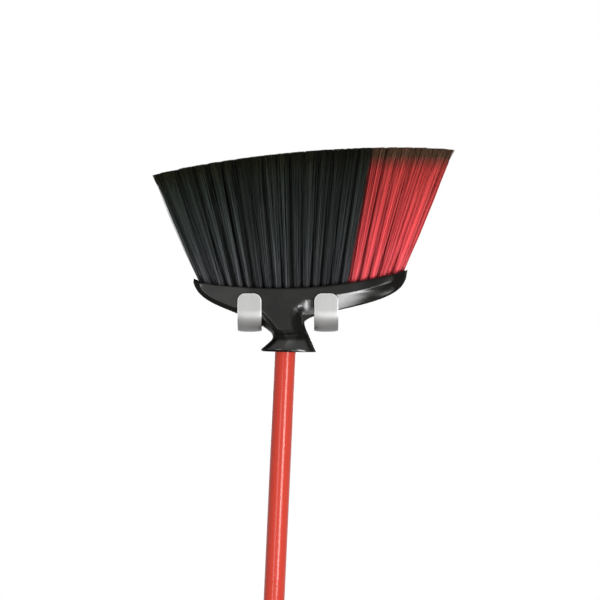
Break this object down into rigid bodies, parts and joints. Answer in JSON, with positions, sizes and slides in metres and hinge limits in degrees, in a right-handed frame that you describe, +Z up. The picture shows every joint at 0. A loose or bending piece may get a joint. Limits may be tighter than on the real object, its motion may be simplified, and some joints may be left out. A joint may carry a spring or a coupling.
{
  "type": "wall broom holder rack",
  "caption": "Wall rack with bent strap hooks that holds an angle broom head-up; the broom has a moulded head, fanned bristles and a round handle that unscrews.",
  "frame": {"origin": "centre of the wall plate's back face, midway between the two wall screw holes", "axes": "+Y into the wall, +Z up, +X to the right of someone who faces the wall"},
  "size_m": [0.3069, 0.0486, 1.1267],
  "materials": {
    "satin_aluminium": "satin",
    "rivet_aluminium": "satin",
    "black_plastic": "gloss",
    "black_bristle": "flagged fibre",
    "red_bristle": "flagged fibre",
    "red_coating": "gloss",
    "thread_plastic": "matte"
  },
  "bodies": {
    "holder": {"wall_plate": "satin_aluminium", "left_hook": "satin_aluminium", "right_hook": "satin_aluminium", "hook_rivets": "rivet_aluminium"},
    "broom": {"broom_head": "black_plastic", "black_tufts_1": "black_bristle", "black_tufts_2": "black_bristle", "black_tufts_3": "black_bristle", "black_tufts_4": "black_bristle", "black_tufts_5": "black_bristle", "red_tufts_1": "red_bristle", "red_tufts_2": "red_bristle", "red_tufts_3": "red_bristle", "red_tufts_4": "red_bristle", "red_tufts_5": "red_bristle"},
    "handle": {"handle_tube": "red_coating", "handle_thread": "thread_plastic", "handle_cap": "black_plastic"}
  },
  "joints": [
    {"name": "broom_lift", "type": "slide", "parent": "holder", "child": "broom", "axis": [0, 0, 1], "range_m": [0, 0.07]},
    {"name": "handle_turn", "type": "hinge", "parent": "broom", "child": "handle", "pos_m": [-0.0028, -0.0258, -0.09473], "axis": [0.0454, 0, 0.999], "continuous": true}
  ]
}
